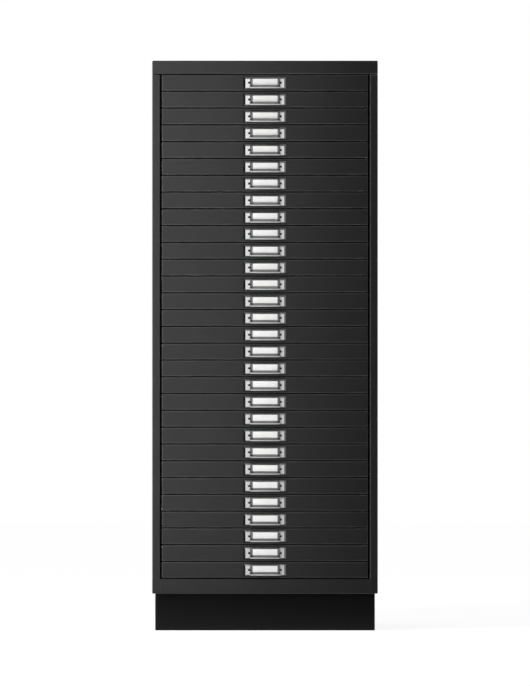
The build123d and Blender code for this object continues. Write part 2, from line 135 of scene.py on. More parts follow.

# Finishes: levels are linear greys, and a shine is the share of level and gloss that painted shade
# leaves
RANDOM_SHIFT = (3.1, 1.7, 2.3)
PAINT_LEVEL = 0.0097
PAINT_ROUGHNESS = 0.34
PAINT_GLOSS = 0.63
PLINTH_LEVEL = PAINT_LEVEL * 0.45
PLINTH_ROUGHNESS = 0.55
PLINTH_GLOSS = 0.16
FRAME_LEVEL = PAINT_LEVEL * 0.9
FRAME_ROUGHNESS = 0.5
# Edge shares scale the painted highlight on edges; the values after them set painted shade round the
# pull and in the left cover seam
FRAME_EDGE_LIGHTENING = 0.6
LOW_LIGHTENING_KEPT = 0.1
PULL_SHADE_FULL = 0.3 * MM
PULL_SHADE_WIDTH = 1.8 * MM
PULL_SHADE_SHINE = 0.4
SEAM_SHINE = 0.03
SEAM_MARGIN = 0.3 * MM
SEAM_BLUR = 0.15 * MM

# Studio: a scrim in front of the cabinet, a tent of black cards round it, and two key lamps at the left
WORLD_FILL = 0.15
FLOOR_SIZE = 9.0
FLOOR_GREY = 0.86
FLOOR_LIFT = 0.86
FLOOR_GAP = 0.2 * MM
SCRIM_X = 0.05
SCRIM_Z = 0.635
SCRIM_DISTANCE = 0.75
SCRIM_WIDTH = 1.7
SCRIM_HEIGHT = 1.23
SCRIM_GLOW = (1.07, 0.02)
SCRIM_FADE = (-0.17, 0.11)
SCRIM_FOOT_TO_HEAD = (0.76, 1.19)
TENT_HALF_WIDTH = 0.90
TENT_HALF_DEPTH = 0.37
TENT_HALF_HEIGHT = 0.84
TENT_DISTANCE = 0.38
TENT_SIDE_Z = 0.85
TENT_TOP_Z = 1.25
TENT_FLOOR_Z = 0.003
KEY_X = -0.62
KEY_Y = -0.93
KEY_WIDTH = 0.30
KEY_HEIGHT = 0.32
KEY_LEVELS_AND_POWERS = ((0.16, 8.2), (1.05, 9.2))

# Places read from the frame, and what follows from them; depths are behind the casing's front
drawer_names = sorted(name for name in frame["nodes"] if name.startswith("drawer_"))
drawer_low, drawer_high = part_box(drawer_names[0])
casing_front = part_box("top_cover")[0].y
opening_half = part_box("bottom_rail")[1].x
front_half_width = opening_half - DRAWER_SIDE_GAP
front_half_height = (drawer_high.z - drawer_low.z) / 2
front_face = DRAWER_RECESS
front_back = front_face + FRONT_DEPTH
tray_back = drawer_high.y - casing_front
tray_bottom = TRAY_FLOOR_RISE - front_half_height
flange_top = tray_bottom + TRAY_HEIGHT
tab_edge = drawer_high.x
flange_edge = tab_edge - STOP_TAB_WIDTH
tray_half = flange_edge - HANGING_FLANGE
plate_face = front_face - PULL_PLATE
nose_tip = front_face - PULL_PROJECTION
rib_inside = RIB_GAP / 2
rib_outside = rib_inside + RIB_WIDTH
plate_half_height = PULL_HEIGHT / 2
flat_top = plate_half_height - PULL_BEVEL_WIDTH
flat_bottom = PULL_FOOT_WIDTH - plate_half_height
card_centre = CARD_CLEARANCE - LIP_TOP_DROP + CARD_HEIGHT / 2
seam_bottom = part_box("left_side_panel")[1].z
seam_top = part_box("top_cover")[0].z
bottom_rail_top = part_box("bottom_rail")[1].z


# Shapes

def loft(bm, rings):
    """Join equal rings of points with quads and close the two ends."""
    loops = [[bm.verts.new(point) for point in ring] for ring in rings]
    for near, far in zip(loops, loops[1:]):
        for here in range(len(near)):
            there = (here + 1) % len(near)
            bm.faces.new((near[here], near[there], far[there], far[here]))
    bm.faces.new(list(reversed(loops[0])))
    bm.faces.new(loops[-1])


def rounded_rectangle(half_width, half_height, radius, depth, centre=0.0, steps=4):
    """A ring in the XZ plane at one depth, its corners rounded."""
    points = []
    for side_x, side_z, start in ((1, 1, 0), (-1, 1, 90), (-1, -1, 180), (1, -1, 270)):
        for step in range(steps + 1):
            angle = math.radians(start + 90 * step / steps)
            points.append(
                Vector(
                    (
                        side_x * (half_width - radius) + radius * math.cos(angle),
                        depth,
                        centre + side_z * (half_height - radius) + radius * math.sin(angle),
                    )
                )
            )
    return points


def arc_steps(radius, steps):
    """Inset from the side and rise from the face, round a quarter turn from face to side."""
    for step in range(steps + 1):
        angle = math.radians(90 * step / steps)
        yield radius * (1 - math.sin(angle)), radius * (1 - math.cos(angle))


def slab(bm, half_width, half_height, near, far, corner, edge, centre=0.0):
    """A plate in the XZ plane with rounded corners and edges."""
    rings = []
    for inset, rise in arc_steps(edge, 3):
        rings.append((inset, near + rise))
    for inset, rise in reversed(list(arc_steps(edge, 3))):
        rings.append((inset, far - rise))
    loft(
        bm,
        [
            rounded_rectangle(half_width - inset, half_height - inset, corner, depth, centre)
            for inset, depth in rings
        ],
    )


def bent_path(corners, radius, steps=5):
    """Points with their left-hand normals along straight runs that are joined by arcs."""
    points = [corners[0]]
    normals = []
    for before, corner, after in zip(corners, corners[1:], corners[2:]):
        way_in = (corner - before).normalized()
        way_out = (after - corner).normalized()
        turn = way_in.angle_signed(way_out)
        reach = radius * math.tan(abs(turn) / 2)
        side = Vector((-way_in.y, way_in.x)) * (-1 if turn > 0 else 1)
        centre = corner - way_in * reach + side * radius
        normal_in = Vector((-way_in.y, way_in.x))
        normal_out = Vector((-way_out.y, way_out.x))
        for step in range(steps + 1):
            share = step / steps
            normal = normal_in.slerp(normal_out, share)
            arm = normal * (radius if turn > 0 else -radius)
            points.append(centre + arm)
            normals.append(normal)
    points.append(corners[-1])
    first_way = (points[1] - points[0]).normalized()
    last_way = (points[-1] - points[-2]).normalized()
    normals.insert(0, Vector((-first_way.y, first_way.x)))
    normals.append(Vector((-last_way.y, last_way.x)))
    return points, normals


def rounded_cut(end, way, normal):
    """Points round the cut edge of a sheet that ends in a direction, from one face to the other."""
    half = SHEET / 2
    return [
        end - way * half * (1 - math.sin(angle)) + normal * half * math.cos(angle)
        for angle in (math.radians(45), math.radians(90), math.radians(135))
    ]


def folded_sheet(bm, corners, radius, near, far):
    """A sheet folded along Y, its two long cut edges rounded."""
    half = SHEET / 2
    points, normals = bent_path([Vector(corner) for corner in corners], radius)
    head = (points[0] - points[1]).normalized()
    tail = (points[-1] - points[-2]).normalized()
    faces = []
    for offset in (half, -half):
        face = [point + normal * offset for point, normal in zip(points, normals)]
        face[0] = face[0] - head * half
        face[-1] = face[-1] - tail * half
        faces.append(face)
    outline = faces[0] + rounded_cut(points[-1], tail, normals[-1])
    outline += faces[1][::-1] + rounded_cut(points[0], head, -normals[0])
    loft(bm, [[Vector((p.x, depth, p.y)) for p in outline] for depth in (near, far)])


def lathe(bm, profile, centre, steps=28):
    """Turn a profile of (radius, depth) about a line along Y through centre."""
    rings = []
    for radius, depth in profile:
        ring = []
        for step in range(steps):
            angle = 2 * math.pi * step / steps
            ring.append(
                centre + Vector((radius * math.cos(angle), depth, radius * math.sin(angle)))
            )
        rings.append(ring)
    loft(bm, rings)


def mesh_from(bm, name, sharp_angle=SHARP_ANGLE):
    """A smooth-shaded mesh whose edges stay sharp past an angle."""
    bmesh.ops.recalc_face_normals(bm, faces=bm.faces)
    mesh = bpy.data.meshes.new(name)
    bm.to_mesh(mesh)
    bm.free()
    mesh.shade_smooth()
    mesh.set_sharp_from_angle(angle=math.radians(sharp_angle))
    return mesh


def scratch_object(bm, name):
    """A closed shape that only serves to cut or to be joined."""
    thing = bpy.data.objects.new(name, mesh_from(bm, name))
    bpy.context.scene.collection.objects.link(thing)
    return thing


def evaluated(thing):
    """An object with its modifiers worked out."""
    return thing.evaluated_get(bpy.context.evaluated_depsgraph_get())


def combine(base, tools):
    """Join or cut a base shape with (operation, shape) pairs, weld it and even out its shading."""
    for operation, tool in tools:
        change = base.modifiers.new(operation.lower(), "BOOLEAN")
        change.operation = operation
        change.solver = "EXACT"
        change.object = tool
    joined = bpy.data.meshes.new_from_object(evaluated(base))
    for thing in [base] + [tool for _, tool in tools]:
        bpy.data.objects.remove(thing)
    bm = bmesh.new()
    bm.from_mesh(joined)
    bmesh.ops.remove_doubles(bm, verts=bm.verts, dist=WELD)
    bmesh.ops.dissolve_degenerate(bm, edges=bm.edges, dist=WELD)
    clean = bpy.data.objects.new("joined", mesh_from(bm, "joined", PULL_SHARP_ANGLE))
    bpy.context.scene.collection.objects.link(clean)
    even = clean.modifiers.new("even", "WEIGHTED_NORMAL")
    even.keep_sharp = True
    mesh = bpy.data.meshes.new_from_object(evaluated(clean))
    bpy.data.objects.remove(clean)
    return mesh


# Drawer body: the folded front and the tray behind it

def front_pan(bm):
    """The folded front: its face, rounded edges and walls, open at the back and hollow inside."""
    rings = [(FRONT_EDGE_RADIUS + SUPPORT_RING, front_face)]
    rings += [(inset, front_face + rise) for inset, rise in arc_steps(FRONT_EDGE_RADIUS, 5)]
    rings += [(0, front_back), (SHEET, front_back)]
    inner = [
        (SHEET + inset, front_face + SHEET + rise)
        for inset, rise in arc_steps(FRONT_EDGE_RADIUS - SHEET, 3)
    ]
    rings += reversed(inner)
    pan = []
    for inset, depth in rings:
        corner = max(FRONT_CORNER_RADIUS - inset / 3, FRONT_CORNER_RADIUS / 3)
        pan.append(
            rounded_rectangle(front_half_width - inset, front_half_height - inset, corner, depth)
        )
    loft(bm, pan)


def inner_front(bm):
    """The flat sheet that closes the front pan from behind."""
    slab(
        bm,
        front_half_width - INNER_FRONT_MARGIN,
        front_half_height - INNER_FRONT_MARGIN,
        front_back,
        front_back + SHEET,
        FRONT_CORNER_RADIUS,
        SHEET / 4,
    )


def tray(bm):
    """The folded tray, with its hanging flanges and the wall at its back."""
    side = tray_half - SHEET / 2
    floor = tray_bottom + SHEET / 2
    flange = flange_top - SHEET / 2
    corners = [
        (-flange_edge, flange),
        (-side, flange),
        (-side, floor),
        (side, floor),
        (side, flange),
        (flange_edge, flange),
    ]
    folded_sheet(bm, corners, TRAY_BEND - SHEET / 2, front_back + SHEET / 2, tray_back)
    slab(
        bm,
        side,
        (flange_top - floor) / 2,
        tray_back - SHEET,
        tray_back,
        TRAY_BEND,
        SHEET / 3,
        centre=(flange_top + floor) / 2,
    )


def stop_tabs(bm):
    """A tab on each flange, slightly tapered, that meets the front stile when the drawer is out."""
    tab_middle = STOP_TAB_SETBACK + STOP_TAB_LENGTH / 2
    for way in (-1, 1):
        tab = []
        for height in (flange_top - SHEET, flange_top):
            ring = []
            for tip, side in ((0, -1), (1, -1), (1, 1), (0, 1)):
                reach = flange_edge - STOP_TAB_WIDTH + tip * 2 * STOP_TAB_WIDTH
                half_length = STOP_TAB_LENGTH / 2 - tip * STOP_TAB_TAPER
                ring.append(Vector((way * reach, tab_middle + side * half_length, height)))
            tab.append(ring)
        loft(bm, tab)


def drawer_body_mesh():
    """Front pan, inner front, tray and stop tabs."""
    bm = bmesh.new()
    for section in (front_pan, inner_front, tray, stop_tabs):
        section(bm)
    return mesh_from(bm, "drawer_body")


# Label holder and finger pull

def eased(share):
    """A rise from 0 to 1 that is straight at first and rounds off into the level past 1."""
    over = share - 1 + EASE
    if over <= 0:
        return share
    return min(1.0, share - over * over / (4 * EASE))


def end_drop(x):
    """How far the plate's face lies back beyond the ribs: leaning at the left, hollow at the right."""
    out = min(1.0, (abs(x) - rib_outside) / (PULL_WIDTH / 2 - PULL_END_BEVEL - rib_outside))
    if out < 0:
        return 0.0
    if x < 0:
        return PULL_END_DROP * out
    return PULL_END_HOLLOW * (1 - out) * (1 + 2 * out)


def pull_plate_shape():
    """The plate, with bevels on its four sides that meet in mitres."""
    bm = bmesh.new()
    wall = PULL_PLATE - PULL_BEVEL_DEPTH
    shares = (0.0, 0.45, 1 - EASE, 1 - EASE / 2, 1.0, 1 + EASE / 2, 1 + EASE)
    half_width = PULL_WIDTH / 2
    flat_end = half_width - PULL_END_BEVEL * (1 + EASE)
    left = [share * PULL_END_BEVEL - half_width for share in shares]
    left += [-rib_outside - part * (flat_end - rib_outside) for part in (0.75, 0.5, 0.25, 0.0)]
    left += [-rib_inside - RIB_WIDTH / 2]
    columns = left + [-x for x in reversed(left)]
    rows = [share * PULL_FOOT_WIDTH - plate_half_height for share in shares]
    rows += [plate_half_height - share * PULL_BEVEL_WIDTH for share in reversed(shares)]
    grid = []
    for x in columns:
        side_share = (half_width - abs(x)) / PULL_END_BEVEL
        line = []
        for z in rows:
            low_share = (z + plate_half_height) / PULL_FOOT_WIDTH
            high_share = (plate_half_height - z) / PULL_BEVEL_WIDTH
            rise = eased(min(side_share, low_share, high_share))
            # The lean of the ends fades out over the upper half of the bevels
            lean = max(0.0, 2 * rise - 1) * end_drop(x)
            line.append(bm.verts.new((x, front_face - wall - rise * PULL_BEVEL_DEPTH + lean, z)))
        grid.append(line)
    last_column = len(columns) - 1
    last_row = len(rows) - 1
    # The cells that the mitres cross are split along them
    for i in range(last_column):
        for j in range(last_row):
            a, b, c, d = grid[i][j], grid[i + 1][j], grid[i + 1][j + 1], grid[i][j + 1]
            side = min(i, last_column - 1 - i)
            edge = min(j, last_row - 1 - j)
            if side != edge:
                bm.faces.new((a, b, c, d))
            elif (i < last_column / 2) == (j < last_row / 2):
                bm.faces.new((a, b, c))
                bm.faces.new((a, c, d))
            else:
                bm.faces.new((a, b, d))
                bm.faces.new((b, c, d))
    rim = [grid[i][0] for i in range(last_column)]
    rim += [grid[last_column][j] for j in range(last_row)]
    rim += [grid[i][last_row] for i in range(last_column, 0, -1)]
    rim += [grid[0][j] for j in range(last_row, 0, -1)]
    back = [bm.verts.new((vert.co.x, front_face, vert.co.z)) for vert in rim]
    for here in range(len(rim)):
        there = (here + 1) % len(rim)
        bm.faces.new((rim[here], rim[there], back[there], back[here]))
    bm.faces.new(back)
    return scratch_object(bm, "pull_plate")


def pull_rib_shape(way):
    """A rib beside the card: upright and undercut towards it, rounded over and falling away outwards."""
    bm = bmesh.new()
    rings = []
    ends = [(-LIP_NOSE_DROP, 1.0)]
    for angle in (0, 25, 50, 75):
        turn = math.radians(angle)
        ends.append((flat_top - RIB_END * (1 - math.sin(turn)), math.cos(turn)))
    for z, share in ends:
        section = [(rib_inside, plate_face + ROOT_OVERLAP)]
        for step in range(RIB_STEPS + 1):
            part = step / RIB_STEPS
            swell = math.sin(math.pi * (RIB_START + (1 - RIB_START) * part))
            section.append((rib_inside + part * RIB_WIDTH, plate_face - RIB_HEIGHT * share * swell))
        section.append((rib_outside, plate_face + ROOT_OVERLAP))
        rings.append([Vector((way * x, y, z)) for x, y in section])
    loft(bm, rings)
    return scratch_object(bm, "pull_rib")


def bulged(start, end, bulge, steps=10):
    """Points from start to end along a shallow arc that bulges to the left."""
    chord = end - start
    normal = Vector((-chord.y, chord.x)).normalized()
    return [
        start + chord * (step / steps) + normal * bulge * 4 * (step / steps) * (1 - step / steps)
        for step in range(steps + 1)
    ]


def shrunk(outline, amount):
    """A closed outline moved inwards by an amount."""
    ahead = outline[1:] + outline[:1]
    behind = outline[-1:] + outline[:-1]
    turn = sum(here.cross(there) for here, there in zip(outline, ahead))
    moved = []
    for before, here, there in zip(behind, outline, ahead):
        way = (here - before).normalized() + (there - here).normalized()
        inward = Vector((-way.y, way.x)).normalized() * (1 if turn > 0 else -1)
        moved.append(here + inward * amount)
    return moved


def pull_lip_shape():
    """The hooked lip: a swelling top, a nose with a flat front, and a hollow under it for fingertips."""
    bm = bmesh.new()
    root_top = Vector((plate_face, -LIP_TOP_DROP))
    nose_half = LIP_NOSE_RADIUS + LIP_NOSE_FLAT
    nose_top = Vector((nose_tip + LIP_NOSE_RADIUS, nose_half - LIP_NOSE_DROP))
    nose_bottom = Vector((nose_tip + LIP_NOSE_RADIUS, -nose_half - LIP_NOSE_DROP))
    root_bottom = Vector((plate_face, flat_bottom))
    outline = bulged(root_top, nose_top, -LIP_TOP_BULGE)
    quarter = [math.radians(angle) for angle in (0.0, 22.5, 45.0, 67.5, 90.0)]
    for way, angles in ((1, quarter[1:]), (-1, quarter[3::-1])):
        for angle in angles:
            depth = nose_tip + LIP_NOSE_RADIUS * (1 - math.sin(angle))
            height = LIP_NOSE_FLAT + LIP_NOSE_RADIUS * math.cos(angle)
            outline.append(Vector((depth, way * height - LIP_NOSE_DROP)))
    outline += bulged(nose_bottom, root_bottom, LIP_HOLLOW_DEPTH)
    outline.append(Vector((plate_face + ROOT_OVERLAP, flat_bottom)))
    outline.append(Vector((plate_face + ROOT_OVERLAP, -LIP_TOP_DROP)))
    rings = []
    for inset, rise in arc_steps(LIP_END_ROUND, 3):
        rings.append([Vector((rise - rib_outside, p.x, p.y)) for p in shrunk(outline, inset)])
    rings += [[Vector((-p.x, p.y, p.z)) for p in ring] for ring in reversed(rings)]
    loft(bm, rings)
    return scratch_object(bm, "pull_lip")


def card_slot_shape():
    """The room that the card and its clearance take out of ribs and lip."""
    slot = bmesh.new()
    slab(
        slot,
        CARD_WIDTH / 2 + CARD_CLEARANCE,
        CARD_HEIGHT / 2 + CARD_CLEARANCE,
        plate_face - CARD_THICKNESS - CARD_CLEARANCE,
        plate_face + SLOT_SINK,
        SLOT_CORNER,
        SLOT_EDGE,
        centre=card_centre,
    )
    return scratch_object(slot, "card_slot")


def rivet_hole_shape(way):
    """A hole through the plate whose mouth flares; its profile is in flares from the hole's rim."""
    hole = bmesh.new()
    mouth = [
        (RIVET_HOLE_RADIUS + wider * HOLE_FLARE, plate_face + deeper * HOLE_FLARE)
        for wider, deeper in ((1.0, -0.75), (0.0, 0.25), (0.0, 3.0))
    ]
    lathe(hole, mouth, Vector((way * RIVET_SPACING / 2, 0, 0)))
    return scratch_object(hole, "rivet_hole")


def pull_mesh():
    """The whole cast pull, with the slots that hold the card and the two rivet holes."""
    tools = [
        ("UNION", pull_rib_shape(-1)),
        ("UNION", pull_rib_shape(1)),
        ("UNION", pull_lip_shape()),
        ("DIFFERENCE", card_slot_shape()),
        ("DIFFERENCE", rivet_hole_shape(-1)),
        ("DIFFERENCE", rivet_hole_shape(1)),
    ]
    mesh = combine(pull_plate_shape(), tools)
    mesh.name = "drawer_pull"
    return mesh


def card_mesh():
    """A paper card with softly rounded edges."""
    bm = bmesh.new()
    slab(
        bm,
        CARD_WIDTH / 2,
        CARD_HEIGHT / 2,
        plate_face - CARD_THICKNESS,
        plate_face,
        CARD_CORNER,
        CARD_THICKNESS / 3,
        centre=card_centre,
    )
    return mesh_from(bm, "drawer_card")


def rivet_mesh():
    """Two tubular rivets: a dished end in the plate's hole and a spread tail inside the front."""
    bm = bmesh.new()
    end = plate_face + RIVET_SINK
    seat = front_face + SHEET
    dish = ((0.30, 0.55), (0.45, 0.35), (0.62, 0.05), (0.80, 0.0), (0.95, 0.08), (1.0, 0.22))
    tail = ((1.0, 0.0), (1.0, 0.5), (0.85, 0.85), (0.55, 1.0))
    profile = [(RIVET_RADIUS * share, end + depth * MM) for share, depth in dish]
    profile.append((RIVET_RADIUS, seat))
    profile += [(RIVET_TAIL_RADIUS * share, seat + RIVET_TAIL_LENGTH * depth) for share, depth in tail]
    for way in (-1, 1):
        lathe(bm, profile, Vector((way * RIVET_SPACING / 2, 0, 0)))
    return mesh_from(bm, "drawer_rivets")


# Materials

def bare_tree(owner, kind="Material"):
    """The node tree of a material or world, empty apart from its output, and that output."""
    owner.use_nodes = True
    tree = owner.node_tree
    tree.nodes.clear()
    return tree, tree.nodes.new(f"ShaderNodeOutput{kind}")


def new_material(name):
    """A material with one Principled shader."""
    material = bpy.data.materials.new(name)
    tree, output = bare_tree(material)
    shader = tree.nodes.new("ShaderNodeBsdfPrincipled")
    tree.links.new(shader.outputs["BSDF"], output.inputs["Surface"])
    return material, tree, shader


def glowing_material(name):
    """A material with one Emission shader."""
    material = bpy.data.materials.new(name)
    tree, output = bare_tree(material)
    glow = tree.nodes.new("ShaderNodeEmission")
    tree.links.new(glow.outputs["Emission"], output.inputs["Surface"])
    return material, tree, glow


def own_coordinates(tree):
    """Object coordinates, moved by a different amount on each object."""
    place = tree.nodes.new("ShaderNodeTexCoord")
    info = tree.nodes.new("ShaderNodeObjectInfo")
    shift = tree.nodes.new("ShaderNodeVectorMath")
    shift.operation = "MULTIPLY_ADD"
    tree.links.new(info.outputs["Random"], shift.inputs[0])
    shift.inputs[1].default_value = RANDOM_SHIFT
    tree.links.new(place.outputs["Object"], shift.inputs[2])
    return shift.outputs["Vector"]


def plain_coordinates(tree):
    """The outputs X, Y and Z of the object's own coordinates."""
    place = tree.nodes.new("ShaderNodeTexCoord")
    split = tree.nodes.new("ShaderNodeSeparateXYZ")
    tree.links.new(place.outputs["Object"], split.inputs["Vector"])
    return split.outputs


def noise(tree, vector, scale, detail=3.0, roughness=0.5, distortion=0.0):
    """The grey value of a noise texture."""
    node = tree.nodes.new("ShaderNodeTexNoise")
    node.inputs["Scale"].default_value = scale
    node.inputs["Detail"].default_value = detail
    node.inputs["Roughness"].default_value = roughness
    node.inputs["Distortion"].default_value = distortion
    tree.links.new(vector, node.inputs["Vector"])
    return node.outputs["Fac"]


def spread(tree, value, source, result=(0.0, 1.0), shape="LINEAR"):
    """Map a value from a source range to a result range, clamped at both ends."""
    node = tree.nodes.new("ShaderNodeMapRange")
    node.interpolation_type = shape
    for label, limit in zip(("From Min", "From Max", "To Min", "To Max"), source + result):
        node.inputs[label].default_value = limit
    tree.links.new(value, node.inputs["Value"])
    return node.outputs["Result"]


def maths(tree, operation, first, second=0.0):
    """A maths node on one or two values, each a socket or a number."""
    node = tree.nodes.new("ShaderNodeMath")
    node.operation = operation
    for place, value in enumerate((first, second)):
        if isinstance(value, (int, float)):
            node.inputs[place].default_value = value
        else:
            tree.links.new(value, node.inputs[place])
    return node.outputs["Value"]


def product(tree, first, *others):
    """Several values multiplied."""
    for other in others:
        first = maths(tree, "MULTIPLY", first, other)
    return first


def largest(tree, first, *others):
    """The largest of several values."""
    for other in others:
        first = maths(tree, "MAXIMUM", first, other)
    return first


def mixed(tree, share, first, second):
    """A colour between two, each a socket or a colour."""
    node = tree.nodes.new("ShaderNodeMix")
    node.data_type = "RGBA"
    tree.links.new(share, node.inputs["Factor"])
    for place, value in (("A", first), ("B", second)):
        socket = [s for s in node.inputs if s.name == place and s.type == "RGBA"][0]
        if isinstance(value, tuple):
            socket.default_value = value
        else:
            tree.links.new(value, socket)
    return [s for s in node.outputs if s.type == "RGBA"][0]


def bump(tree, height, distance, normal=None):
    """A bump from a height, over another normal."""
    node = tree.nodes.new("ShaderNodeBump")
    node.inputs["Strength"].default_value = 1.0
    node.inputs["Distance"].default_value = distance
    tree.links.new(height, node.inputs["Height"])
    if normal is not None:
        tree.links.new(normal, node.inputs["Normal"])
    return node.outputs["Normal"]


def rounded_normal(tree, radius):
    """The normal of edges softened by a small radius."""
    node = tree.nodes.new("ShaderNodeBevel")
    node.samples = 4
    node.inputs["Radius"].default_value = radius
    return node.outputs["Normal"]


def edge_mask(tree, radius, edge, flat):
    """From 1 on edges and folds to 0 on flat stretches, by how far the softened normal turns."""
    soft = rounded_normal(tree, radius)
    geometry = tree.nodes.new("ShaderNodeNewGeometry")
    dot = tree.nodes.new("ShaderNodeVectorMath")
    dot.operation = "DOT_PRODUCT"
    tree.links.new(soft, dot.inputs[0])
    tree.links.new(geometry.outputs["True Normal"], dot.inputs[1])
    return spread(tree, dot.outputs["Value"], (flat, edge))


def occluded_corners(tree, reach, deep, clear):
    """From 1 deep in corners, where shade falls, to 0 on open surfaces."""
    node = tree.nodes.new("ShaderNodeAmbientOcclusion")
    node.samples = 8
    node.inputs["Distance"].default_value = reach
    return spread(tree, node.outputs["AO"], (deep, clear), (1.0, 0.0))


def shade_on_pull(tree):
    """From 0 to 1 where the pull gets painted shade: its ledges that face up or down, its two ribs and
    its corners.
    """
    # Painted shade on surfaces that face up or down
    geometry = tree.nodes.new("ShaderNodeNewGeometry")
    facing = tree.nodes.new("ShaderNodeSeparateXYZ")
    tree.links.new(geometry.outputs["Normal"], facing.inputs["Vector"])
    upright = maths(tree, "ABSOLUTE", facing.outputs["Z"])
    ledges = spread(tree, upright, (0.72, 0.90), (0.0, 0.9))
    # Painted shade over the two ribs beside the card
    place = plain_coordinates(tree)
    across = maths(tree, "ABSOLUTE", place["X"])
    inside = spread(tree, across, (rib_inside - RIB_SHADE_EDGE, rib_inside))
    outside = spread(tree, across, (rib_outside - RIB_WIDTH / 2, rib_outside), (1.0, 0.0))
    above_lip = spread(tree, place["Z"], (-LIP_NOSE_DROP, -LIP_TOP_DROP), (0.0, 0.6))
    below_rim = spread(tree, place["Z"], (flat_top - RIB_END, flat_top), (1.0, 0.0))
    ribs = product(tree, inside, outside, above_lip, below_rim)
    # Painted shade in corners, from ambient occlusion
    corners = occluded_corners(tree, reach=4.5 * MM, deep=0.38, clear=0.85)
    return largest(tree, ledges, ribs, corners)


def grey(level, tint=0.0):
    """A grey with a slight blue tint, in linear light."""
    return (level, level, level * (1 + tint), 1.0)


def round_the_pull(tree):
    """From 1 along the outline of the pull to 0 a little way off, on the drawer's front alone: a painted
    shade.
    """
    place = plain_coordinates(tree)
    across = maths(tree, "SUBTRACT", maths(tree, "ABSOLUTE", place["X"]), PULL_WIDTH / 2)
    up = maths(tree, "SUBTRACT", maths(tree, "ABSOLUTE", place["Z"]), plate_half_height)
    near = spread(tree, largest(tree, across, up), (PULL_SHADE_FULL, PULL_SHADE_WIDTH), (1.0, 0.0))
    outside = spread(tree, place["Y"], (front_back - FRONT_DEPTH / 2, front_back), (1.0, 0.0))
    return product(tree, near, outside)


def under_the_cover(tree):
    """From 1 in the left seam between the cover and the side to 0 a little way off: a painted shade in
    the gap.
    """
    place = plain_coordinates(tree)
    low = seam_bottom - SEAM_MARGIN
    high = seam_top + SEAM_MARGIN
    past_low = spread(tree, place["Z"], (low - SEAM_BLUR, low))
    short_of_high = spread(tree, place["Z"], (high, high + SEAM_BLUR), (1.0, 0.0))
    left = spread(tree, place["X"], (-opening_half / 2, 0.0), (1.0, 0.0))
    return product(tree, past_low, short_of_high, left)


def powder_coat(name, level, roughness, gloss=0.5, edge_lightening=0.8, low_lightening_kept=1.0, painted_shade=None, shaded_shine=1.0):
    """Satin powder coat: fine orange peel, faint mottling and dust, and edges painted lighter as a
    highlight.

    Edges from the bottom rail down keep only a low share of their painted highlight. A mask of painted
    shade, when given, takes level and gloss down to its shaded share.
    """
    material, tree, shader = new_material(name)
    shader.inputs["Specular IOR Level"].default_value = gloss
    place = own_coordinates(tree)
    mottle = spread(tree, noise(tree, place, scale=7.0, detail=4.0), (0.3, 0.7))
    base = mixed(tree, mottle, grey(level * 0.93, 0.04), grey(level * 1.09, 0.02))
    speckle = spread(tree, noise(tree, place, scale=1500.0, detail=2.0), (0.62, 0.78), (0.0, 0.35))
    base = mixed(tree, speckle, base, grey(level * 2.2, 0.02))
    # Painted highlight: edges and folds lightened in patches towards a pale grey
    edges = edge_mask(tree, radius=1.6 * MM, edge=0.90, flat=0.995)
    patches = noise(tree, place, scale=60.0, detail=5.0, roughness=0.65)
    painted_highlight = product(tree, edges, spread(tree, patches, (0.42, 0.66), (0.55, 1.0)), edge_lightening)
    if low_lightening_kept < 1.0:
        height = plain_coordinates(tree)["Z"]
        low = spread(tree, height, (bottom_rail_top, bottom_rail_top + MM), (low_lightening_kept, 1.0))
        painted_highlight = product(tree, painted_highlight, low)
    base = mixed(tree, painted_highlight, base, grey(level * 32.0, 0.03))
    # Painted shade: darker and less glossy where the mask is, in the left cover seam or round the pull
    if painted_shade:
        shade_mask = painted_shade(tree)
        base = mixed(tree, shade_mask, base, grey(level * shaded_shine))
        shine = spread(tree, shade_mask, (0.0, 1.0), (gloss, gloss * shaded_shine))
        tree.links.new(shine, shader.inputs["Specular IOR Level"])
    tree.links.new(base, shader.inputs["Base Color"])
    smudges = noise(tree, place, scale=18.0, detail=6.0, roughness=0.6, distortion=0.6)
    smudge = spread(tree, smudges, (0.35, 0.7), (-0.028, 0.04))
    fine = spread(tree, noise(tree, place, scale=420.0, detail=2.0), (0.3, 0.7), (-0.025, 0.025))
    rough = maths(tree, "ADD", maths(tree, "ADD", smudge, fine), roughness)
    rough = maths(tree, "SUBTRACT", rough, product(tree, painted_highlight, 0.22))
    tree.links.new(rough, shader.inputs["Roughness"])
    soft = rounded_normal(tree, 0.45 * MM)
    peel = noise(tree, place, scale=620.0, detail=3.0, roughness=0.55)
    tree.links.new(bump(tree, peel, 0.035 * MM, soft), shader.inputs["Normal"])
    return material


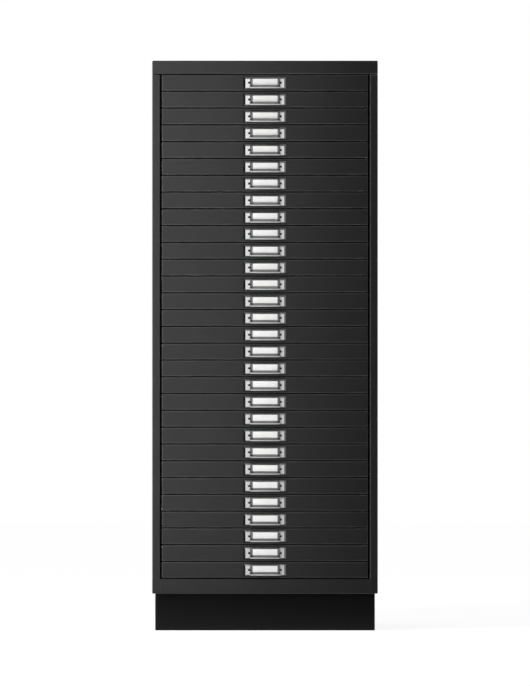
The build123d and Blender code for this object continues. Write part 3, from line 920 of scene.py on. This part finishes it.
def chrome(name):
    """Satin chrome on a casting: faint brushing along its length, finger smudges, edges paler as a
    painted highlight, and painted shade on its ledges, ribs and corners.
    """
    cool = (0.78, 0.79, 0.81, 1.0)
    bright = (0.86, 0.87, 0.88, 1.0)
    material, tree, shader = new_material(name)
    place = own_coordinates(tree)
    along = tree.nodes.new("ShaderNodeMapping")
    along.inputs["Scale"].default_value = (14.0, 1.0, 1600.0)
    tree.links.new(place, along.inputs["Vector"])
    grain = noise(tree, along.outputs["Vector"], scale=1.0, detail=3.0)
    cloud = noise(tree, place, scale=90.0, detail=4.0, roughness=0.6, distortion=0.4)
    colour = mixed(tree, spread(tree, cloud, (0.3, 0.7)), cool, bright)
    # Painted highlight: edges turned paler
    edges = edge_mask(tree, radius=0.4 * MM, edge=0.80, flat=0.99)
    colour = mixed(tree, product(tree, edges, 0.5), colour, grey(0.90))
    # Painted shade: ledges, ribs and corners darkened towards near black
    colour = mixed(tree, shade_on_pull(tree), colour, grey(0.07))
    tree.links.new(colour, shader.inputs["Base Color"])
    shader.inputs["Metallic"].default_value = 1.0
    smudged = spread(tree, cloud, (0.35, 0.7), (0.13, 0.22))
    brushed = spread(tree, grain, (0.3, 0.7), (-0.03, 0.05))
    tree.links.new(maths(tree, "ADD", smudged, brushed), shader.inputs["Roughness"])
    soft = rounded_normal(tree, 0.15 * MM)
    tree.links.new(bump(tree, grain, 0.004 * MM, soft), shader.inputs["Normal"])
    return material


def zinc(name):
    """Zinc-plated steel: pale mottled grey with fine scratches."""
    dark = (0.42, 0.43, 0.45, 1.0)
    pale = (0.60, 0.60, 0.59, 1.0)
    material, tree, shader = new_material(name)
    place = own_coordinates(tree)
    cloud = noise(tree, place, scale=260.0, detail=5.0, roughness=0.65)
    colour = mixed(tree, spread(tree, cloud, (0.3, 0.7)), dark, pale)
    tree.links.new(colour, shader.inputs["Base Color"])
    shader.inputs["Metallic"].default_value = 1.0
    tree.links.new(spread(tree, cloud, (0.3, 0.7), (0.30, 0.48)), shader.inputs["Roughness"])
    soft = rounded_normal(tree, 0.25 * MM)
    fine = noise(tree, place, scale=1200.0, detail=2.0)
    tree.links.new(bump(tree, fine, 0.01 * MM, soft), shader.inputs["Normal"])
    return material


def paper(name):
    """Matt white card with fibres and a faint warm unevenness."""
    cream = (0.84, 0.84, 0.82, 1.0)
    white = (0.90, 0.90, 0.89, 1.0)
    soiled = (0.72, 0.71, 0.68, 1.0)
    material, tree, shader = new_material(name)
    place = own_coordinates(tree)
    cloud = spread(tree, noise(tree, place, scale=120.0, detail=4.0), (0.3, 0.7))
    colour = mixed(tree, cloud, cream, white)
    edges = edge_mask(tree, radius=0.3 * MM, edge=0.80, flat=0.99)
    colour = mixed(tree, product(tree, edges, 0.6), colour, soiled)
    tree.links.new(colour, shader.inputs["Base Color"])
    fibres = noise(tree, place, scale=2600.0, detail=4.0, roughness=0.7)
    tree.links.new(spread(tree, fibres, (0.3, 0.7), (0.72, 0.88)), shader.inputs["Roughness"])
    tree.links.new(bump(tree, fibres, 0.008 * MM), shader.inputs["Normal"])
    return material


def rubber(name):
    """Black rubber with a dusty bloom."""
    material, tree, shader = new_material(name)
    place = own_coordinates(tree)
    cloud = spread(tree, noise(tree, place, scale=40.0, detail=5.0, roughness=0.6), (0.35, 0.7))
    tree.links.new(mixed(tree, cloud, grey(0.012), grey(0.028)), shader.inputs["Base Color"])
    fine = noise(tree, place, scale=900.0, detail=3.0)
    tree.links.new(spread(tree, fine, (0.3, 0.7), (0.66, 0.85)), shader.inputs["Roughness"])
    tree.links.new(bump(tree, fine, 0.03 * MM), shader.inputs["Normal"])
    return material


def blackened(name):
    """Black oxide on the small rivets."""
    material, tree, shader = new_material(name)
    shader.inputs["Specular IOR Level"].default_value = 0.12
    place = own_coordinates(tree)
    cloud = spread(tree, noise(tree, place, scale=700.0, detail=4.0), (0.3, 0.7))
    tree.links.new(mixed(tree, cloud, grey(0.006), grey(0.016)), shader.inputs["Base Color"])
    tree.links.new(spread(tree, cloud, (0.0, 1.0), (0.38, 0.55)), shader.inputs["Roughness"])
    tree.links.new(bump(tree, cloud, 0.01 * MM), shader.inputs["Normal"])
    return material


# Painted shade in the left cover seam and round the pull; painted edge highlights kept low from the
# bottom rail down
in_the_seam = {"painted_shade": under_the_cover, "shaded_shine": SEAM_SHINE, "low_lightening_kept": LOW_LIGHTENING_KEPT}
at_the_pull = {"painted_shade": round_the_pull, "shaded_shine": PULL_SHADE_SHINE}
paint = (PAINT_LEVEL, PAINT_ROUGHNESS, PAINT_GLOSS)
plinth = (PLINTH_LEVEL, PLINTH_ROUGHNESS, PLINTH_GLOSS)
materials = {
    "casing_paint": powder_coat("casing_paint", *paint, **in_the_seam),
    "drawer_paint": powder_coat("drawer_paint", *paint, **at_the_pull),
    "plinth_paint": powder_coat("plinth_paint", *plinth),
    "frame_paint": powder_coat(
        "frame_paint", FRAME_LEVEL, FRAME_ROUGHNESS, edge_lightening=FRAME_EDGE_LIGHTENING, **in_the_seam
    ),
    "buffer_rubber": rubber("buffer_rubber"),
    "zinc_fasteners": zinc("zinc_fasteners"),
    "pull_chrome": chrome("pull_chrome"),
    "label_card": paper("label_card"),
    "rivet_black": blackened("rivet_black"),
}


# Pieces that stay as packed, each with the finish of its slot
for entry in frame["record"]["subparts"]:
    node = frame["nodes"][entry["node"]]
    for place in range(len(node.material_slots)):
        node.material_slots[place].material = materials[entry["material_slot"]]


# Drawers, which all repeat the same four shapes at their own levels

def place_piece(mesh, name, drawer):
    """Hang a copy of a shared shape on one drawer."""
    low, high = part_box(drawer)
    piece = bpy.data.objects.new(name, mesh)
    piece.location = (0, casing_front, (low.z + high.z) / 2)
    bpy.context.scene.collection.objects.link(piece)
    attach(piece, drawer)
    return piece


shapes = {
    "body": (drawer_body_mesh(), "drawer_paint"),
    "pull": (pull_mesh(), "pull_chrome"),
    "card": (card_mesh(), "label_card"),
    "rivets": (rivet_mesh(), "rivet_black"),
}
for mesh, slot in shapes.values():
    mesh.materials.clear()
    mesh.materials.append(materials[slot])
for drawer in drawer_names:
    for part, (mesh, slot) in shapes.items():
        piece = place_piece(mesh, f"{drawer}_{part}", drawer)
        if part == "body":
            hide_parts(drawer)


# Floor, light and camera

def seen_directly(tree):
    """1 for rays from the camera, off gloss or through glass, and 0 for the rest."""
    path = tree.nodes.new("ShaderNodeLightPath")
    kinds = ("Is Camera Ray", "Is Glossy Ray", "Is Transmission Ray")
    return largest(tree, *(path.outputs[kind] for kind in kinds))


def studio_world():
    """White where it is seen, and a plain even fill as light."""
    world = bpy.data.worlds.new("studio")
    tree, output = bare_tree(world, "World")
    background = tree.nodes.new("ShaderNodeBackground")
    background.inputs["Color"].default_value = (1.0, 1.0, 1.0, 1.0)
    strength = spread(tree, seen_directly(tree), (0.0, 1.0), (WORLD_FILL, 1.0))
    tree.links.new(strength, background.inputs["Strength"])
    tree.links.new(background.outputs["Background"], output.inputs["Surface"])
    bpy.context.scene.world = world


def studio_floor():
    """A pale matt floor that takes the cabinet's shadow and is lifted to the white backdrop."""
    bm = bmesh.new()
    bmesh.ops.create_grid(bm, x_segments=8, y_segments=8, size=FLOOR_SIZE)
    mesh = bpy.data.meshes.new("floor")
    bm.to_mesh(mesh)
    bm.free()
    material = bpy.data.materials.new("pale_floor")
    tree, output = bare_tree(material)
    matt = tree.nodes.new("ShaderNodeBsdfDiffuse")
    matt.inputs["Color"].default_value = grey(FLOOR_GREY)
    glow = tree.nodes.new("ShaderNodeEmission")
    lift = spread(tree, seen_directly(tree), (0.0, 1.0), (0.0, FLOOR_LIFT))
    tree.links.new(lift, glow.inputs["Strength"])
    both = tree.nodes.new("ShaderNodeAddShader")
    tree.links.new(matt.outputs["BSDF"], both.inputs[0])
    tree.links.new(glow.outputs["Emission"], both.inputs[1])
    tree.links.new(both.outputs["Shader"], output.inputs["Surface"])
    mesh.materials.append(material)
    floor = bpy.data.objects.new("floor", mesh)
    floor.location = (0, 0, cad_low.z - FLOOR_GAP)
    bpy.context.scene.collection.objects.link(floor)


def key_lamp(level, power):
    """A soft lamp at the left that the gloss doesn't mirror, turned to the cabinet at its own level."""
    name = f"key_{level:.2f}"
    data = bpy.data.lights.new(name, "AREA")
    data.shape = "RECTANGLE"
    data.size = KEY_WIDTH
    data.size_y = KEY_HEIGHT
    data.energy = power
    place = Vector((KEY_X, KEY_Y, level))
    lamp = bpy.data.objects.new(name, data)
    lamp.location = place
    lamp.rotation_mode = "QUATERNION"
    lamp.rotation_quaternion = (Vector((0, casing_front, level)) - place).to_track_quat("-Z", "Y")
    lamp.visible_glossy = False
    bpy.context.scene.collection.objects.link(lamp)


def studio_panel(name, place, across, up, material):
    """A flat panel that the camera doesn't see, spanned by two half-side vectors."""
    bm = bmesh.new()
    corners = [bm.verts.new(x * across + y * up) for x, y in ((-1, -1), (1, -1), (1, 1), (-1, 1))]
    bm.faces.new(corners)
    mesh = bpy.data.meshes.new(name)
    bm.to_mesh(mesh)
    bm.free()
    mesh.materials.append(material)
    panel = bpy.data.objects.new(name, mesh)
    panel.location = place
    panel.visible_camera = False
    bpy.context.scene.collection.objects.link(panel)
    return panel


def black_card(name, x, z, across, up, glow):
    """A nearly black card of the tent, which the polished edges mirror."""
    material, _, light = glowing_material(name)
    light.inputs["Strength"].default_value = glow
    return studio_panel(name, (x, casing_front - TENT_DISTANCE, z), across, up, material)


def gradient_scrim():
    """A scrim in front of the cabinet, brighter at the left and the head, that feeds gloss and fill."""
    material, tree, glow = glowing_material("scrim_light")
    place = plain_coordinates(tree)
    across = spread(tree, place["X"], SCRIM_FADE, SCRIM_GLOW, shape="SMOOTHSTEP")
    upwards = spread(tree, place["Z"], (-SCRIM_HEIGHT / 2, SCRIM_HEIGHT / 2), SCRIM_FOOT_TO_HEAD)
    tree.links.new(product(tree, across, upwards), glow.inputs["Strength"])
    half_width = Vector((SCRIM_WIDTH / 2, 0, 0))
    half_height = Vector((0, 0, SCRIM_HEIGHT / 2))
    centre = (SCRIM_X, casing_front - SCRIM_DISTANCE, SCRIM_Z)
    studio_panel("scrim", centre, half_width, half_height, material)


def studio_camera():
    """Square on to the front, from far away, framed as the photograph is."""
    data = bpy.data.cameras.new("camera")
    data.sensor_width = CAMERA_SENSOR
    data.lens = CAMERA_LENS
    data.clip_end = 100.0
    distance = PHOTO_HEIGHT * PHOTO_SCALE * CAMERA_LENS / CAMERA_SENSOR
    height = cad_high.z - (PHOTO_HEIGHT / 2 - PHOTO_CABINET_TOP) * PHOTO_SCALE
    camera = bpy.data.objects.new("camera", data)
    camera.location = (0, casing_front - distance, height)
    camera.rotation_euler = (math.radians(90), 0, 0)
    bpy.context.scene.collection.objects.link(camera)
    bpy.context.scene.camera = camera


wide = Vector((TENT_HALF_WIDTH, 0, 0))
deep = Vector((0, TENT_HALF_DEPTH, 0))
tall = Vector((0, 0, TENT_HALF_HEIGHT))
studio_world()
studio_floor()
gradient_scrim()
black_card("left_card", -TENT_HALF_WIDTH, TENT_SIDE_Z, deep, tall, glow=0.0)
black_card("right_card", TENT_HALF_WIDTH, TENT_SIDE_Z, deep, tall, glow=0.13)
black_card("top_card", 0, TENT_TOP_Z, wide, deep, glow=0.11)
floor_card = black_card("floor_card", 0, TENT_FLOOR_Z, wide, deep, glow=0.12)
floor_card.visible_diffuse = False
floor_card.visible_shadow = False
for level, power in KEY_LEVELS_AND_POWERS:
    key_lamp(level, power)
studio_camera()
bpy.context.scene.view_settings.view_transform = "Standard"
